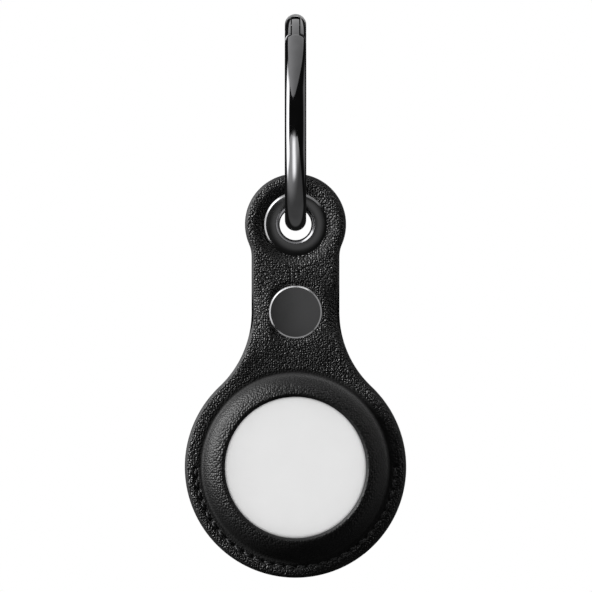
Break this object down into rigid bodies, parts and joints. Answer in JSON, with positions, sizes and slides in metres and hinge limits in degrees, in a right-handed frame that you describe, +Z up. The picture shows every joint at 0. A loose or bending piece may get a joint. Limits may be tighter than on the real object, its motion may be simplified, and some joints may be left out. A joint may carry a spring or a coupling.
{
  "type": "tracker tag holder",
  "caption": "Black leather holder for a coin-shaped tracker tag, with a round window, stitched pocket, press-stud flap and eyelet, hung on a dark spring-gate ring.",
  "frame": {"origin": "inside top of the ring, where a hook or strap carries the hanging holder", "axes": "+Z up, -Y towards the viewer and the window side, +X to the right"},
  "size_m": [0.042, 0.041, 0.1068],
  "materials": {
    "leather": "black pebbled leather with painted edges",
    "thread": "black waxed thread",
    "gunmetal": "polished dark nickel plating",
    "plated_steel": "nickel plated steel",
    "tag_white": "white gloss plastic",
    "tag_inner": "black moulded plastic",
    "board": "green solder mask",
    "magnet": "plated magnet",
    "copper": "enamelled copper winding",
    "contact": "gold plated spring contact",
    "cell": "stainless cell can",
    "polished_steel": "polished stainless steel"
  },
  "bodies": {
    "ring": {"ring_body": "gunmetal"},
    "gate": {"gate_arm": "gunmetal", "gate_pin": "gunmetal", "gate_spring": "plated_steel"},
    "plunger": {"gate_plunger": "plated_steel"},
    "holder": {"front_panel": "leather", "head_backing": "leather", "rear_pocket": "leather", "seam_thread": "thread", "eyelet": "gunmetal", "eyelet_washer": "gunmetal", "snap_cap": "gunmetal", "snap_socket": "plated_steel", "snap_spring": "plated_steel"},
    "flap": {"rear_flap": "leather", "snap_stud": "plated_steel", "snap_rear_cap": "gunmetal"},
    "tag": {"tag_cover": "tag_white", "tag_base": "tag_white", "tag_chassis": "tag_inner", "circuit_board": "board", "speaker_magnet": "magnet", "voice_coil": "copper", "contact_negative": "contact", "contacts_positive": "contact", "coin_cell": "cell"},
    "tag_back": {"battery_cover": "polished_steel"}
  },
  "joints": [
    {"name": "holder_swing", "type": "hinge", "parent": "ring", "child": "holder", "pos_m": [0, 0, -0.0358], "axis": [0, 1, 0], "range_deg": [-120, 120]},
    {"name": "gate_hinge", "type": "hinge", "parent": "ring", "child": "gate", "pos_m": [0, -0.00783, 0.00029], "axis": [-1, 0, 0], "range_deg": [0, 35], "stiffness_Nm_per_rad": 0.02, "springref_deg": -20.05},
    {"name": "plunger_slide", "type": "slide", "parent": "gate", "child": "plunger", "axis": [0, 0.9829, 0.1843], "range_m": [0, 0.000338], "deforming": ["gate_spring"]},
    {"name": "flap_fold", "type": "hinge", "parent": "holder", "child": "flap", "pos_m": [0, 0.00525, -0.0806], "axis": [-1, 0, 0], "range_deg": [0, 70], "stiffness_Nm_per_rad": 0.02, "deforming": ["snap_spring"]},
    {"name": "tag_turn", "type": "hinge", "parent": "holder", "child": "tag", "pos_m": [0, 0, -0.0818], "axis": [0, 1, 0], "continuous": true},
    {"name": "cover_twist", "type": "hinge", "parent": "tag", "child": "tag_back", "pos_m": [0, 0, -0.0818], "axis": [0, 1, 0], "range_deg": [0, 22]}
  ],
  "couplings": [
    {"joint": "plunger_slide", "follows": "gate_hinge", "m_per_rad": 0.00053722}
  ]
}
